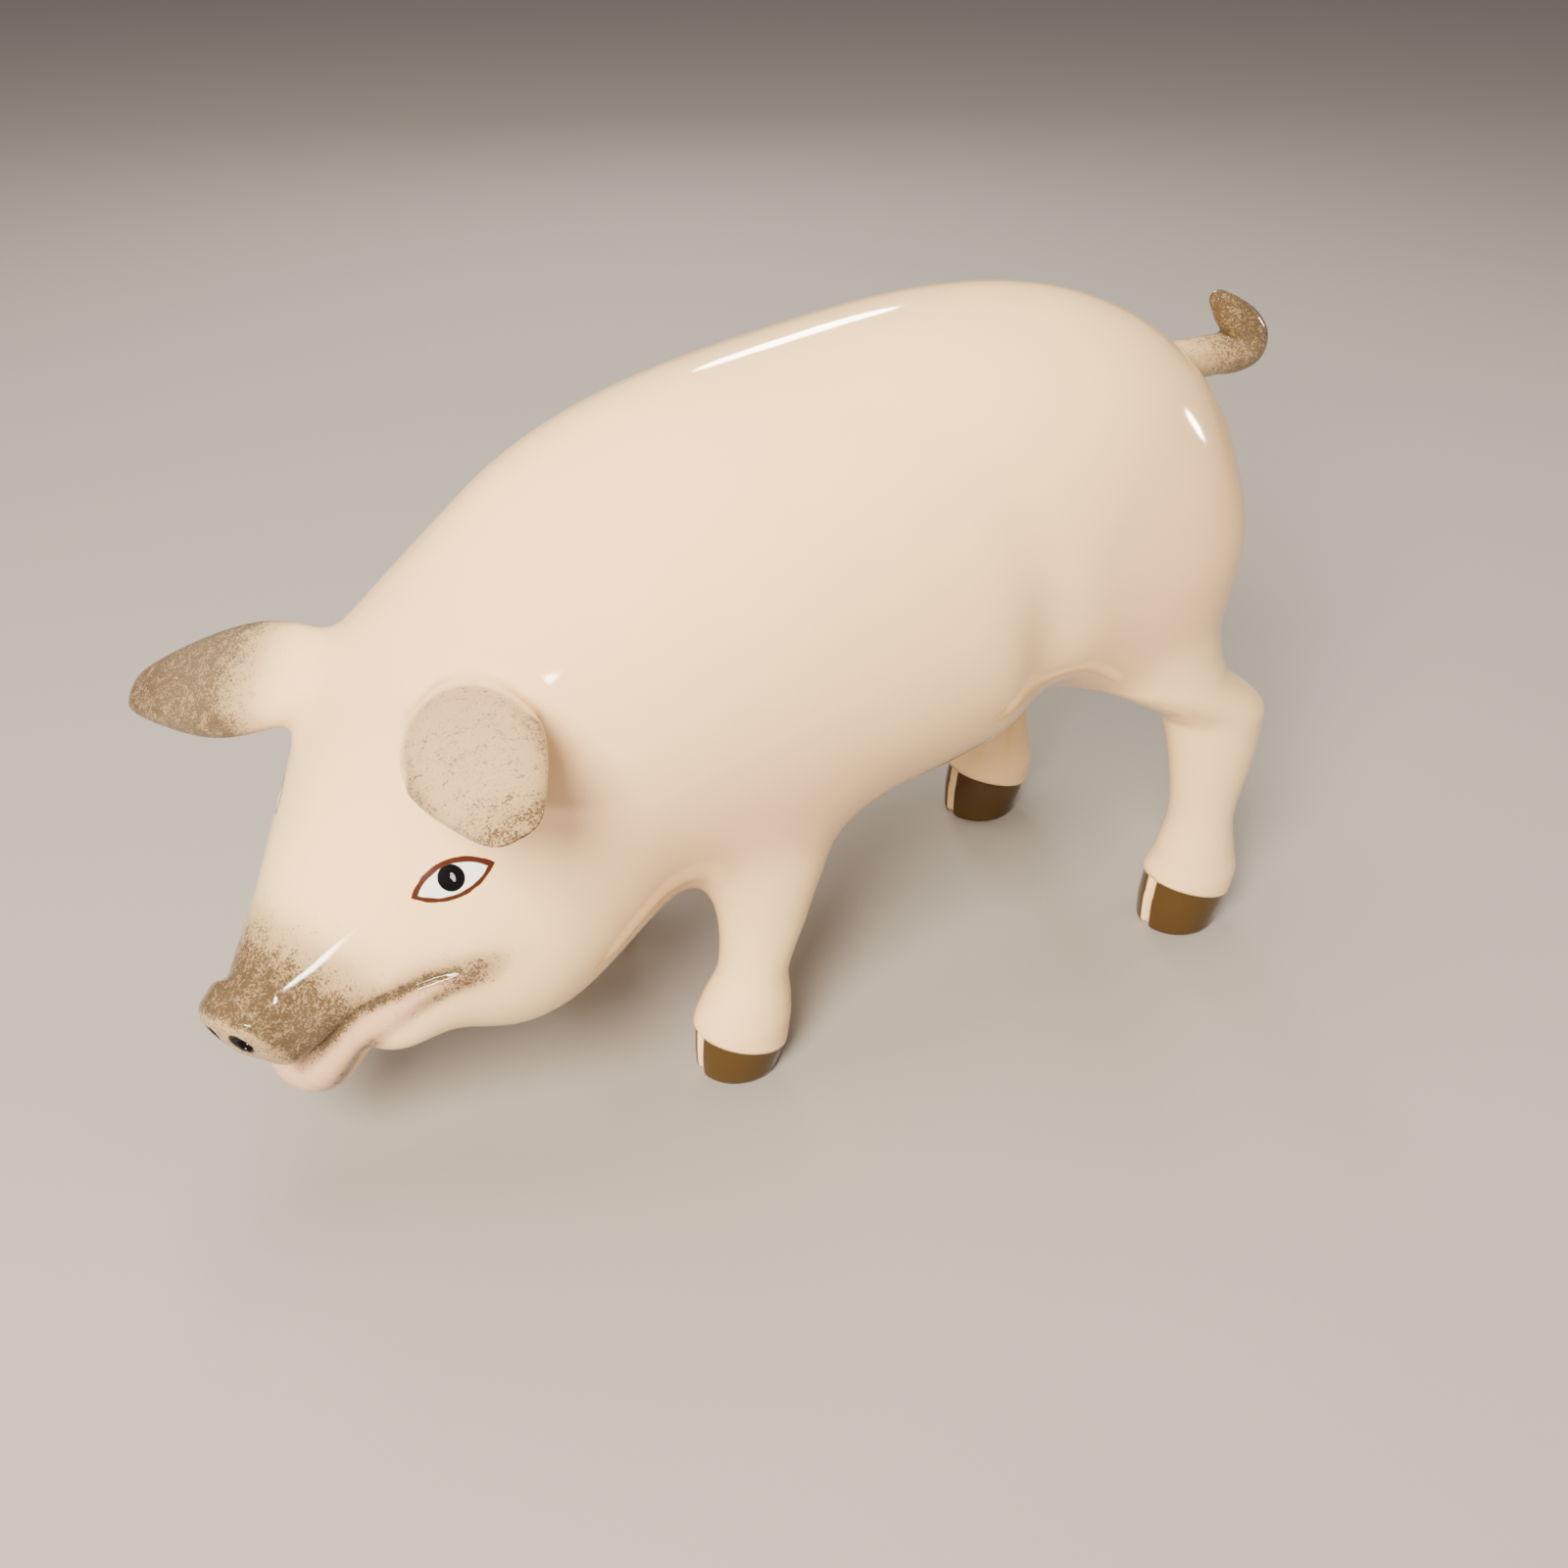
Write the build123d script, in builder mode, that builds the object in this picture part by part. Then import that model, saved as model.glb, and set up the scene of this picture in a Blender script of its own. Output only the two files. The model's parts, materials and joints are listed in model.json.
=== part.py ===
from build123d import *

import os
from math import cos, pi, radians, sin, sqrt

# Slip-cast china pig with its head lowered and turned to its left. It is luted together from hollow and
# solid castings. Millimetres, +Z up, head towards -X, the pig's left side towards -Y, hooves on z = 0.

# Torso: a hollow barrel whose axis rises from the chest to the rump
torso_length = 132
torso_width = 66
torso_depth = 68
torso_slope = 6.5
torso_mid_x = 11.6
torso_mid_height = 61.5
midline_y = 5.85
torso_fullness = 2.5
torso_width_shares = (1.00, 1.00, 1.00, 1.00, 0.95)
torso_depth_shares = (1.00, 0.96, 0.97, 0.985, 0.95)
torso_rise_shares = (0.05, 0.18, 0.13, 0.085, 0.00)

# Casting wall, and the vents that let the kiln gas out of the hollows
wall = 3.0
belly_vent_diameter = 5.0
belly_vent_share = 0.55
neck_vent_diameter = 14.0

# Head: a hollow cone from the neck to the snout, with jowls, chin and snout disc
head_length = 72
head_width = 56
head_depth = 56
head_pitch = 34
head_turn = 22
head_fullness = 2.0
neck_share = 0.786
neck_rise = 9
neck_offset = 6
head_width_shares = (1.20, 1.12, 0.90, 0.57, 0.45)
head_depth_shares = (1.10, 1.05, 0.83, 0.50, 0.38)
head_rise_shares = (-0.30, -0.35, -0.39, -0.19, -0.04)
jowl_length = 30
jowl_width = 26
jowl_depth = 26
jowl_place_shares = (0.54, 0.50, -0.50)
chin_length = 42
chin_width = 22
chin_depth = 15
chin_fullness = 2.6
chin_place_shares = (0.69, 0.00, -0.46)
snout_thickness = 7
snout_width = 15.6
snout_depth = 12.4
snout_place_shares = (0.945, 0.00, -0.03)

# Ears: solid leaves that point outwards and forwards from the top of the head, each its own way. A heading
# is how far the ear's axis goes forwards, outwards and up.
ear_length = 37
ear_width = 17.2
ear_thickness = 5.2
left_ear_tilt = 12.5
right_ear_tilt = -2.5
left_ear_place_shares = (0.32, 0.18, 0.37)
right_ear_place_shares = (0.35, 0.29, 0.35)
left_ear_heading_shares = (0.34, 0.89, 0.32)
right_ear_heading_shares = (0.41, 0.91, 0.04)
ear_fullness = 2.0
ear_width_shares = (0.70, 0.97, 1.00, 0.83, 0.70)
ear_depth_shares = (1.90, 1.45, 1.10, 0.90, 0.70)

# Legs: each row is height, set back and set inwards as shares of the leg's height, then length and width as
# shares of the hoof's
leg_reach_share = 0.94
front_hoof_length = 14.4
front_hoof_width = 12.8
front_inset = 12
front_left_share = 0.690
front_right_share = 0.740
front_leg_shares = (
    (0.00, 0.000, 0.000, 1.00, 1.00),
    (0.09, 0.000, 0.000, 0.96, 0.97),
    (0.17, 0.020, 0.010, 0.76, 0.78),
    (0.28, 0.040, 0.020, 0.72, 0.78),
    (0.41, 0.080, 0.035, 0.93, 0.94),
    (0.59, 0.095, 0.050, 1.32, 1.17),
    (0.79, 0.095, 0.090, 1.80, 1.40),
    (1.00, 0.095, 0.160, 2.00, 1.45),
)
rear_hoof_length = 16.4
rear_hoof_width = 14
rear_inset = 11.5
rear_left_share = 0.080
rear_right_share = 0.160
rear_leg_shares = (
    (0.00, 0.000, 0.000, 1.00, 1.00),
    (0.09, 0.000, 0.000, 0.93, 0.94),
    (0.19, 0.010, 0.000, 0.68, 0.74),
    (0.34, 0.020, 0.000, 0.62, 0.71),
    (0.48, 0.025, 0.000, 0.77, 0.83),
    (0.60, 0.005, 0.010, 0.98, 1.00),
    (0.69, -0.050, 0.020, 1.25, 1.20),
    (0.80, -0.140, 0.040, 1.60, 1.45),
    (1.00, -0.280, 0.150, 1.50, 1.20),
)

# Tail: a tapered roll that leaves the rump and curls up and forwards
tail_root_diameter = 6.6
tail_tip_diameter = 2.6
tail_run = 15
tail_curl_radius = 4.2
tail_curl_turn = 200
tail_drift = 2
tail_place_shares = (0.10, 0.00, 0.47)

# Shares of a plain ellipsoid: as wide and deep as its sizes, on a straight axis
even_shares = (1.00, 1.00)
level_shares = (0.00, 0.00)
round_fullness = 2.0

# How finely the forms are laid through their sections
egg_sections = 12
tail_sections = 10
end_share = 0.002

os.makedirs("parts", exist_ok=True)


def through(shares, u):
    """Value at u, from 0 to 1, of the smooth curve through evenly spaced shares."""
    last = len(shares) - 1
    total = 0
    for i, share in enumerate(shares):
        weight = 1
        for j in range(last + 1):
            if j != i:
                weight *= (u * last - j) / (i - j)
        total += share * weight
    return total


def lofted(sections):
    """Solid through ellipses, each given as its plane, half width and half depth."""
    with BuildPart() as form:
        for plane, half_width, half_depth in sections:
            with BuildSketch(plane):
                with BuildLine():
                    for start_angle in (0, 90, 180, 270):
                        EllipticalCenterArc((0, 0), half_width, half_depth, start_angle)
                make_face()
        loft()
    return form.part


class Egg:
    """Rounded body of ellipses along an axis, whose width, depth and centre line follow shares."""

    def __init__(self, start, axis, side, sizes, width_shares, depth_shares, rise_shares, fullness):
        self.start, self.axis, self.side, self.up = start, axis, side, axis.cross(side)
        self.length, self.width, self.depth = sizes
        self.width_shares, self.depth_shares, self.rise_shares = width_shares, depth_shares, rise_shares
        self.fullness = fullness

    def centre(self, u):
        rise = self.depth / 2 * through(self.rise_shares, u)
        return self.start + self.axis * (self.length * u) + self.up * rise

    def swell(self, u):
        return sqrt(1 - abs(2 * u - 1) ** self.fullness)

    def half_depth(self, u):
        return self.depth / 2 * through(self.depth_shares, u) * self.swell(u)

    def half_width(self, u):
        return self.width / 2 * through(self.width_shares, u) * self.swell(u)

    def place(self, along_share, side_share, up_share):
        """Point in the egg by shares of its length, half width and half depth, off its straight axis."""
        point = self.start + self.axis * (self.length * along_share)
        return point + self.side * (self.width / 2 * side_share) + self.up * (self.depth / 2 * up_share)

    def form(self):
        sections = []
        for step in range(egg_sections + 1):
            u = (1 - cos(pi * step / egg_sections)) / 2
            u = end_share + (1 - 2 * end_share) * u
            plane = Plane(self.centre(u), x_dir=self.side, z_dir=self.axis)
            sections.append((plane, self.half_width(u), self.half_depth(u)))
        return lofted(sections)

    def hollow(self):
        """The same body, smaller by the casting wall all round."""
        start = self.start + self.axis * wall
        sizes = (self.length - 2 * wall, self.width - 2 * wall, self.depth - 2 * wall)
        return Egg(start, self.axis, self.side, sizes, self.width_shares, self.depth_shares,
                   self.rise_shares, self.fullness)


def knob(centre, axis, side, sizes, fullness):
    """Plain rounded body about a centre, its sizes along the axis, across and up."""
    start = centre - axis * (sizes[0] / 2)
    return Egg(start, axis, side, sizes, even_shares, even_shares, level_shares, fullness).form()


# Where the torso and the head lie
left = Vector(0, -1, 0)
torso_axis = Vector(-cos(radians(torso_slope)), 0, -sin(radians(torso_slope)))
torso_mid = Vector(torso_mid_x, midline_y, torso_mid_height)
torso_sizes = (torso_length, torso_width, torso_depth)
torso_start = torso_mid - torso_axis * (torso_length / 2)
torso_egg = Egg(torso_start, torso_axis, left, torso_sizes, torso_width_shares,
                torso_depth_shares, torso_rise_shares, torso_fullness)
torso_form = torso_egg.form()

pitch, turn = radians(head_pitch), radians(head_turn)
head_axis = Vector(-cos(pitch) * cos(turn), -cos(pitch) * sin(turn), -sin(pitch))
head_left = Vector(sin(turn), -cos(turn), 0)
neck = torso_egg.place(neck_share, 0, 0) + torso_egg.up * neck_rise - left * neck_offset
head_sizes = (head_length, head_width, head_depth)
head_egg = Egg(neck, head_axis, head_left, head_sizes, head_width_shares, head_depth_shares,
               head_rise_shares, head_fullness)

# Torso: the barrel, hollow inside, with a vent in the belly and one under the neck
belly_vent = torso_egg.centre(belly_vent_share)
with BuildPart() as torso:
    add(torso_form)
    add(torso_egg.hollow().form(), mode=Mode.SUBTRACT)
    with BuildSketch(Plane(belly_vent)):
        Circle(belly_vent_diameter / 2)
    extrude(amount=-torso_depth, mode=Mode.SUBTRACT)
    with BuildSketch(Plane(head_egg.centre(0), x_dir=head_left, z_dir=head_axis)):
        Circle(neck_vent_diameter / 2)
    extrude(amount=head_length, mode=Mode.SUBTRACT)
torso.part.label = "torso"
export_step(torso.part, "parts/torso.step")

# Head: cone, jowls, chin and snout disc in one casting, open where it sits on the torso
with BuildPart() as head_outside:
    add(head_egg.form())
    for side_sign in (-1, 1):
        along_share, side_share, up_share = jowl_place_shares
        jowl_centre = head_egg.place(along_share, side_sign * side_share, up_share)
        jowl_sizes = (jowl_length, jowl_width, jowl_depth)
        add(knob(jowl_centre, head_axis, head_left, jowl_sizes, round_fullness))
    chin_centre = head_egg.place(*chin_place_shares)
    chin_sizes = (chin_length, chin_width, chin_depth)
    add(knob(chin_centre, head_axis, head_left, chin_sizes, chin_fullness))
    snout_centre = head_egg.place(*snout_place_shares)
    snout_sizes = (snout_thickness, snout_width, snout_depth)
    add(knob(snout_centre, head_axis, head_left, snout_sizes, round_fullness))

with BuildPart() as head:
    add(head_outside.part)
    add(torso_form, mode=Mode.SUBTRACT)
    add(head_egg.hollow().form(), mode=Mode.SUBTRACT)
head.part.label = "head"
export_step(head.part, "parts/head.step")

# Ears: leaves cut to the head where they are luted on
ears = (
    ("left_ear", 1, left_ear_tilt, left_ear_place_shares, left_ear_heading_shares),
    ("right_ear", -1, right_ear_tilt, right_ear_place_shares, right_ear_heading_shares),
)
for name, side_sign, ear_tilt, place_shares, heading_shares in ears:
    along_share, side_share, up_share = place_shares
    root = head_egg.place(along_share, side_sign * side_share, up_share)
    forward_share, outward_share, upward_share = heading_shares
    outward = head_left * side_sign
    heading = head_axis * forward_share + outward * outward_share + head_egg.up * upward_share
    ear_axis = heading.normalized()
    level_side = ear_axis.cross(head_egg.up).normalized() * side_sign
    ear_up = level_side.cross(ear_axis) * side_sign
    ear_side = level_side * cos(radians(ear_tilt)) + ear_up * sin(radians(ear_tilt))
    leaf = Egg(root, ear_axis, ear_side, (ear_length, ear_width, ear_thickness), ear_width_shares,
               ear_depth_shares, level_shares, ear_fullness)
    with BuildPart() as ear:
        add(leaf.form())
        add(head_outside.part, mode=Mode.SUBTRACT)
        add(torso_form, mode=Mode.SUBTRACT)
    ear.part.label = name
    export_step(ear.part, f"parts/{name}.step")


def leg_form(along_share, side_sign, inset, hoof_length, hoof_width, shares):
    """Leg from its hoof on the ground to its top inside the torso."""
    foot = torso_egg.place(along_share, 0, 0)
    height = torso_mid_height * leg_reach_share
    foot_offset = torso_width / 2 - inset
    sections = []
    for height_share, back_share, inward_share, length_share, width_share in shares:
        x = foot.X + height * back_share
        y = midline_y - side_sign * (foot_offset - height * inward_share)
        plane = Plane((x, y, height * height_share))
        sections.append((plane, hoof_length / 2 * length_share, hoof_width / 2 * width_share))
    return lofted(sections)


# Legs: solid castings cut to the torso where they are luted on
front = (front_inset, front_hoof_length, front_hoof_width, front_leg_shares)
rear = (rear_inset, rear_hoof_length, rear_hoof_width, rear_leg_shares)
legs = (
    ("front_left_leg", front_left_share, 1, front),
    ("front_right_leg", front_right_share, -1, front),
    ("rear_left_leg", rear_left_share, 1, rear),
    ("rear_right_leg", rear_right_share, -1, rear),
)
for name, along_share, side_sign, kind in legs:
    with BuildPart() as leg:
        add(leg_form(along_share, side_sign, *kind))
        add(torso_form, mode=Mode.SUBTRACT)
        add(head_outside.part, mode=Mode.SUBTRACT)
    leg.part.label = name
    export_step(leg.part, f"parts/{name}.step")

# Tail: straight run out of the rump, then a curl that tapers to its tip
tail_root = torso_egg.place(*tail_place_shares)
curl_centre = tail_root + Vector(tail_run, 0, tail_curl_radius)
tail_rings = [(Plane(tail_root, x_dir=(0, 1, 0), z_dir=(1, 0, 0)), 0)]
for step in range(tail_sections + 1):
    share = step / tail_sections
    angle = radians(tail_curl_turn * share)
    outward = Vector(sin(angle), 0, -cos(angle))
    heading = Vector(cos(angle), 0, sin(angle))
    ring_centre = curl_centre + outward * tail_curl_radius + Vector(0, tail_drift * share, 0)
    tail_rings.append((Plane(ring_centre, x_dir=(0, 1, 0), z_dir=heading), share))
tail_radii = []
for plane, share in tail_rings:
    radius = (tail_root_diameter + (tail_tip_diameter - tail_root_diameter) * share) / 2
    tail_radii.append((plane, radius, radius))
with BuildPart() as tail:
    add(lofted(tail_radii))
    add(torso_form, mode=Mode.SUBTRACT)
tail.part.label = "tail"
export_step(tail.part, "parts/tail.step")
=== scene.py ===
# A slip-cast china pig, airbrushed and clear glazed: its nine castings, the stage they stand on and the camera.
# The shape functions work in millimetres in the part's frame: +Z up, snout towards -X, left side towards -Y.
import json
from functools import lru_cache
from math import cos, pi, radians, sin

import bpy
import numpy as np
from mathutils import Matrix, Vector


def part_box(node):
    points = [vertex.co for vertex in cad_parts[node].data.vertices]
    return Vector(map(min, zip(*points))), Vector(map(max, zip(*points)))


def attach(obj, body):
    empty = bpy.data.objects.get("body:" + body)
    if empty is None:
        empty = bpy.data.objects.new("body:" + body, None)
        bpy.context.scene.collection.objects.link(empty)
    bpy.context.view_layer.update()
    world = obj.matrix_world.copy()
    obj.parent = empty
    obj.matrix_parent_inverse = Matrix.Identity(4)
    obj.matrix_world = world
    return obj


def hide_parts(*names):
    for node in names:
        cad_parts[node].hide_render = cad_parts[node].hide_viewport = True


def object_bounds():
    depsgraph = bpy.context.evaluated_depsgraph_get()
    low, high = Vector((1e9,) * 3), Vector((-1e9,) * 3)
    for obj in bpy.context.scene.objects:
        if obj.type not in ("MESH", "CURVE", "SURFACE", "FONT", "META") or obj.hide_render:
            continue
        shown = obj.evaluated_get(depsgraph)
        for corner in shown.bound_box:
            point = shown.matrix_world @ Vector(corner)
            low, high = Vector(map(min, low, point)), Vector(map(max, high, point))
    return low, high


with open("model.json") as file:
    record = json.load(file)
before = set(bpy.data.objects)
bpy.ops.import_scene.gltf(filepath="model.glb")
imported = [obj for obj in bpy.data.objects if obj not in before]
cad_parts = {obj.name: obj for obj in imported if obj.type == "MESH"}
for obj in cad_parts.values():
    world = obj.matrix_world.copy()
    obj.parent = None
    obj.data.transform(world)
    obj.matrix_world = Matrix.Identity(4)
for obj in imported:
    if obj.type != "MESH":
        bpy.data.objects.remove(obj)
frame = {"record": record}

import openvdb
from bpy.props import FloatProperty, FloatVectorProperty, PointerProperty
from bpy.types import Operator, Panel, PropertyGroup
from mathutils import Vector

bl_info = {
    "name": "China pig",
    "version": (1, 0, 0),
    "blender": (4, 5, 0),
    "location": "View3D > Sidebar > China pig",
    "description": "Models a glazed china pig figurine around its packed solids",
    "category": "Add Mesh",
}

MM = 0.001
CAD_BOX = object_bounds()
BODY = "root"

# Where the castings are, from the frame
torso_low, torso_high = (np.array(corner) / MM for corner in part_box("torso"))
HOME = np.array([(torso_low[0] + torso_high[0]) / 2, (torso_low[1] + torso_high[1]) / 2, 0.0])
SOLES = {m["name"]: np.array(m["pos_m"]) / MM for m in frame["record"]["mounts"]}


def linear(code):
    """sRGB hex colour as linear red, green and blue."""
    shares = [int(code[i:i + 2], 16) / 255 for i in (0, 2, 4)]
    return tuple(s / 12.92 if s <= 0.04045 else ((s + 0.055) / 1.055) ** 2.4 for s in shares)


def colour(name, code, description):
    return FloatVectorProperty(name=name, description=description, subtype="COLOR", size=3, min=0, max=1,
                               default=linear(code))


def watts(name, power, description):
    return FloatProperty(name=name, description=description, unit="POWER", default=power, min=0.0)


def length(name, millimetres, description):
    return FloatProperty(name=name, description=description, unit="LENGTH", subtype="DISTANCE",
                         default=millimetres * MM, min=0.0, precision=4)


class PigForm(PropertyGroup):
    mesh_step: length("Mesh step", 0.5, "Spacing of the points that the skin is drawn through")
    neck_blend: length("Neck blend", 10, "How far the head and the torso run into each other")
    leg_blend: length("Leg blend", 6, "How far a leg and the torso run into each other")
    left_ear_blend: length("Left ear blend", 2.8, "How far the left ear and the head run into each other")
    right_ear_blend: length("Right ear blend", 6.0, "How far the right ear and the head run into each other")
    tail_blend: length("Tail blend", 1.6, "How far the tail and the rump run into each other")
    ear_length: length("Ear length", 33, "From the root inside the head to the tip")
    ear_width: length("Ear width", 17.2, "Across the widest part of the leaf")
    ear_thickness: length("Ear thickness", 5.2, "Through the middle of the leaf")
    rim_height: length("Rim height", 1.6, "Of the left ear's round upper edge above its root")
    cleft_depth: length("Cleft depth", 0.7, "Of the notch between the toes")
    mouth_depth: length("Mouth depth", 0.25, "Of the line between the lips")


class PigGlaze(PropertyGroup):
    ivory: colour("Ivory", "F6D298", "The china body through its clear glaze")
    # Pink for the airbrush and the painted shade in the hollows, also used for the body colour's slight random drift
    blush: colour("Blush", "E6B690", "Pink tint airbrushed into the hollows")
    pooled: colour("Pooled glaze", "C99A5E", "Where the glaze ran together round a root")
    grey_speckle: colour("Grey speckle", "463A2E", "Airbrushed droplets on the ears and the tail")
    brown_speckle: colour("Brown speckle", "2A1B10", "Airbrushed droplets on the snout")
    lip: colour("Lip", "E2B08C", "Painted lower lip")
    hoof: colour("Hoof", "44300F", "Painted toes")
    lid_line: colour("Lid line", "45200F", "Brush lines round the eyes")
    eye_white: colour("Eye white", "EFEBE6", "Painted white of the eyes")
    iris: colour("Iris", "040404", "Painted iris and nostrils")
    # Painted highlight in the iris
    glint: colour("Glint", "8E8C8A", "Painted light in the iris")
    droplet: length("Droplet", 0.32, "Size of an airbrushed droplet")


class PigStage(PropertyGroup):
    floor: colour("Floor", "98938D", "Plain pale floor")
    overhead: watts("Overhead light", 5.2, "Wide soft light above")
    fill: watts("Fill light", 13.5, "Soft light from the left of the camera")
    strip: watts("Strip light", 1.2, "Narrow light behind the pig, which draws the line along its back")
    lamp: watts("Lamp", 8.0, "Small lamp at the left of the camera")
    far_lamp: watts("Far lamp", 0.35, "Small lamp beyond the rump")


# Smooth joins and simple bodies


def smooth_union(a, b, reach):
    share = np.clip(0.5 + 0.5 * (b - a) / reach, 0, 1)
    return b + (a - b) * share - reach * share * (1 - share)


def smooth_cut(a, b, reach):
    """Body a without body b."""
    return -smooth_union(-a, b, reach)


def ease(value, start, end):
    """0 before start, 1 past end, smooth between."""
    share = np.clip((value - start) / (end - start), 0, 1)
    return share * share * (3 - 2 * share)


def through(shares, u):
    """Smooth curve through evenly spaced shares, for u from 0 to 1."""
    last = len(shares) - 1
    total = 0.0
    for i, share in enumerate(shares):
        weight = 1.0
        for j in range(last + 1):
            if j != i:
                weight = weight * (u * last - j) / (i - j)
        total = total + share * weight
    return total


def stations(heights, values, z):
    """Smooth curve through values at heights, with no overshoot between them."""
    heights, values = np.array(heights, float), np.array(values, float)
    rates = np.diff(values) / np.diff(heights)
    slopes = np.zeros_like(values)
    same_way = rates[1:] * rates[:-1] > 0
    sums = np.where(same_way, rates[1:] + rates[:-1], 1)
    slopes[1:-1] = np.where(same_way, 2 * rates[1:] * rates[:-1] / sums, 0)
    z = np.clip(z, heights[0], heights[-1])
    i = np.clip(np.searchsorted(heights, z) - 1, 0, len(heights) - 2)
    run = heights[i + 1] - heights[i]
    t = (z - heights[i]) / run
    return ((1 + 2 * t) * (1 - t) ** 2 * values[i] + t * (1 - t) ** 2 * run * slopes[i]
            + t ** 2 * (3 - 2 * t) * values[i + 1] + t ** 2 * (t - 1) * run * slopes[i + 1])


def egg(points, start, end, up, half_width, half_depth, width_shares, depth_shares, rise_shares, fullness):
    """Rounded body from start to end, whose width, depth and middle follow shares along it."""
    run = np.linalg.norm(end - start)
    along = (end - start) / run
    side = np.cross(up, along)
    side = side / np.linalg.norm(side)
    over = np.cross(along, side)
    offset = points - start
    a = offset @ along / run
    u = np.clip(a, -0.02, 1.02)
    width = half_width * through(width_shares, u)
    depth = half_depth * through(depth_shares, u)
    b = offset @ side
    c = offset @ over - half_depth * through(rise_shares, u)
    m = np.abs(2 * a - 1)
    value = m ** fullness + (b / width) ** 2 + (c / depth) ** 2 - 1
    slope = 2 * np.sqrt((fullness * m ** (fullness - 1) / run) ** 2 + (b / width ** 2) ** 2 + (c / depth ** 2) ** 2)
    return value / (slope + 1e-6)


def ellipsoid(points, centre, axes, radii):
    shares = [(points - centre) @ axis / radius for axis, radius in zip(axes, radii)]
    value = sum(share ** 2 for share in shares) - 1
    slope = 2 * np.sqrt(sum((share / radius) ** 2 for share, radius in zip(shares, radii)))
    return value / (slope + 1e-6)


def chain(points, places, radii):
    """Round cord through places, with a radius at each."""
    nearest = None
    for p, q, start, end in zip(places[:-1], places[1:], radii[:-1], radii[1:]):
        run = q - p
        t = np.clip((points - p) @ run / (run @ run), 0, 1)
        reach = np.linalg.norm(points - p - t[:, None] * run, axis=1) - (start + (end - start) * t)
        nearest = reach if nearest is None else np.minimum(nearest, reach)
    return nearest


def near_only(points, centre, reach, measure):
    """The measure at the points within reach of centre, and reach itself elsewhere."""
    near = np.abs(points - centre).max(1) < 2 * reach
    values = np.full(len(points), float(reach))
    values[near] = np.minimum(measure(points[near]), reach)
    return values


def rounded_route(places, steps):
    """Points along the smooth curve through places."""
    ends = [2 * places[0] - places[1], *places, 2 * places[-1] - places[-2]]
    route = []
    for p, q, r, s in zip(ends, ends[1:], ends[2:], ends[3:]):
        for step in range(steps):
            t = step / steps
            route.append(0.5 * (2 * q + (r - p) * t + (2 * p - 5 * q + 4 * r - s) * t ** 2
                                + (3 * q - p - 3 * r + s) * t ** 3))
    return [*route, places[-1]]


# Torso: a barrel whose axis rises from the chest to the rump
RUMP = HOME + (65.6, 0.0, 69.0)
CHEST = HOME + (-65.4, 0.0, 54.0)
TORSO_WIDTH_SHARES = (1.00, 1.00, 1.00, 1.00, 0.95)
TORSO_DEPTH_SHARES = (1.00, 0.96, 0.97, 0.985, 0.95)
TORSO_RISE_SHARES = (0.05, 0.18, 0.13, 0.085, 0.00)
UP = np.array([0.0, 0.0, 1.0])
SIDES = (1, -1)


FLANK_ALONG = np.array((-0.30, 0.0, 0.954))
FLANK_ACROSS = np.array((0.954, 0.0, 0.30))
# Hollows before each ham: middle, depth, then reach across the fold, along it and inwards
FLANKS = (((17.0, 31.0, 62.0), 1.9, (5.0, 13.0, 14.0)), ((25.5, 19.0, 46.5), 3.2, (6.0, 9.0, 11.0)))


def torso_distance(points):
    """The barrel, hollowed before each ham, high on the flank and under the belly."""
    barrel = egg(points, RUMP, CHEST, UP, 33.0, 34.0, TORSO_WIDTH_SHARES, TORSO_DEPTH_SHARES,
                 TORSO_RISE_SHARES, 2.5)
    for middle, depth, (across, along, inwards) in FLANKS:
        for side in SIDES:
            offset = points - HOME - np.array(middle) * (1, side, 1)
            hollow = (offset @ FLANK_ACROSS / across) ** 2 + (offset @ FLANK_ALONG / along) ** 2
            barrel = barrel + depth * np.exp(-hollow - (offset[:, 1] / inwards) ** 2)
    return barrel


# Head: its own axes point forwards along the snout, to the pig's left and to the crown
PITCH, TURN = radians(34), radians(22)
FORWARD = np.array([-cos(PITCH) * cos(TURN), -cos(PITCH) * sin(TURN), -sin(PITCH)])
LEFT = np.array([sin(TURN), -cos(TURN), 0.0])
CROWN = np.cross(FORWARD, LEFT)
HEAD_AXES = (FORWARD, LEFT, CROWN)
NOSE = HOME + (-89.7, -15.0, 28.3)
HEAD_WIDTH_SHARES = (1.20, 1.12, 0.90, 0.57, 0.45)
HEAD_DEPTH_SHARES = (1.10, 1.05, 0.83, 0.50, 0.38)
HEAD_RISE_SHARES = (-0.30, -0.35, -0.39, -0.19, -0.04)
JAW_WIDTH_SHARES = (1.20, 1.25, 1.10, 0.95, 0.90)
JAW_DEPTH_SHARES = (1.20, 1.15, 1.00, 0.95, 0.90)
JAW_RISE_SHARES = (-0.30, -0.20, 0.00, 0.00, 0.00)
LIP = ((-0.6, 0.0, -11.2), (0.0, 4.2, -10.4), (3.0, 7.0, -8.2), (6.5, 9.2, -6.4), (10.5, 12.2, -5.5),
       (14.5, 15.8, -5.1), (18.5, 19.4, -5.1))
LIP_RADII = (3.2, 3.2, 3.0, 2.7, 2.2, 1.7, 1.1)
UPPER_LIP = ((-1.0, 4.6, -3.9), (3.0, 6.6, -2.9), (6.5, 8.4, -1.6), (10.0, 10.6, -1.2), (13.0, 12.8, -1.8))
UPPER_LIP_RADII = (1.9, 1.8, 1.3, 0.8, 0.3)
MOUTH = ((-3.2, 4.4, -7.2), (-0.6, 6.6, -6.0), (2.5, 8.2, -4.9), (5.8, 10.1, -3.5), (9.0, 12.0, -2.8),
         (12.2, 14.5, -3.2), (15.5, 17.0, -3.4), (18.5, 19.8, -4.2))
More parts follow.
